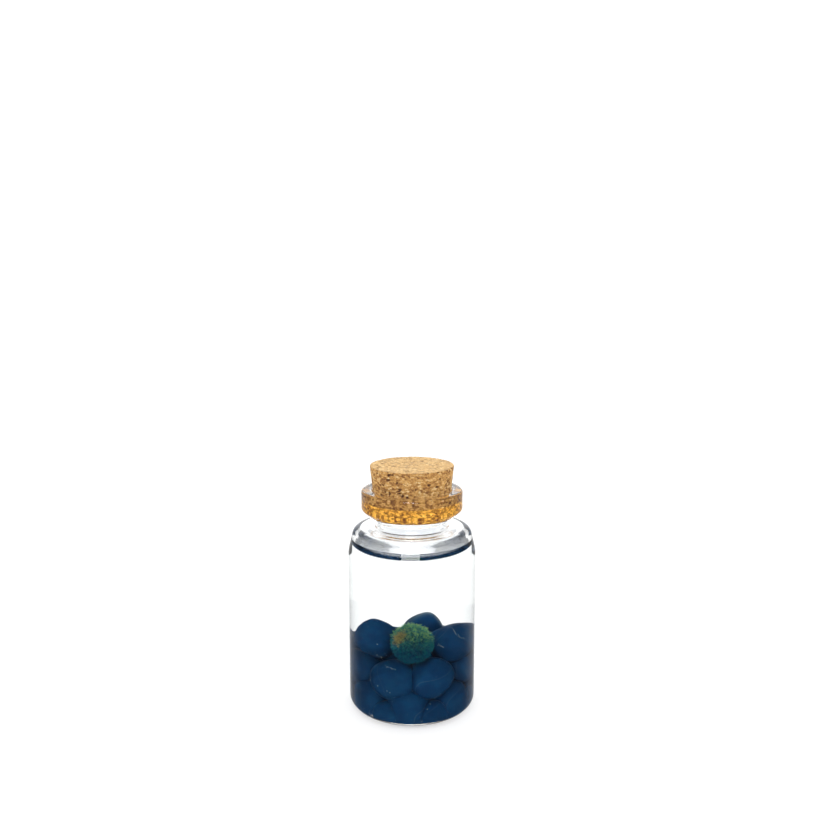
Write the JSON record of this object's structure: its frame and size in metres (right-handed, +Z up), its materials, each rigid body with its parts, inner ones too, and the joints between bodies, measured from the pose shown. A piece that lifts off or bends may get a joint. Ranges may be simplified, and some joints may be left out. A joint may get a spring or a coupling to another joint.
{
  "type": "moss ball bottle",
  "caption": "Marimo moss ball resting on a bed of black pebbles, under clear water, in a small round glass bottle with a pressed cork stopper.",
  "frame": {"origin": "centre of the bottle's foot, on the surface that it stands on", "axes": "+Z up along the bottle's axis, towards the cork; -Y towards the side of the glass that the moss ball leans on"},
  "size_m": [0.037, 0.037, 0.0714],
  "materials": {
    "bottle_glass": "clear and polished",
    "cork": "pressed cork granules, sanded",
    "moss": "velvety green threads",
    "pebble": "smooth and wet",
    "water": "clear liquid"
  },
  "bodies": {
    "root": {"glass_bottle": "bottle_glass", "cork_stopper": "cork", "marimo_moss_ball": "moss", "pebble_01": "pebble", "pebble_02": "pebble", "pebble_03": "pebble", "pebble_04": "pebble", "pebble_05": "pebble", "pebble_06": "pebble", "pebble_07": "pebble", "pebble_08": "pebble", "pebble_09": "pebble", "pebble_10": "pebble", "pebble_11": "pebble", "pebble_12": "pebble", "pebble_13": "pebble", "pebble_14": "pebble", "pebble_15": "pebble", "pebble_16": "pebble", "pebble_17": "pebble", "pebble_18": "pebble", "pebble_19": "pebble", "pebble_20": "pebble", "pebble_21": "pebble", "pebble_22": "pebble", "pebble_23": "pebble", "pebble_24": "pebble", "pebble_25": "pebble", "pebble_26": "pebble", "pebble_27": "pebble", "pebble_28": "pebble", "pebble_29": "pebble", "pebble_30": "pebble", "pebble_31": "pebble", "water": "water"}
  },
  "joints": []
}
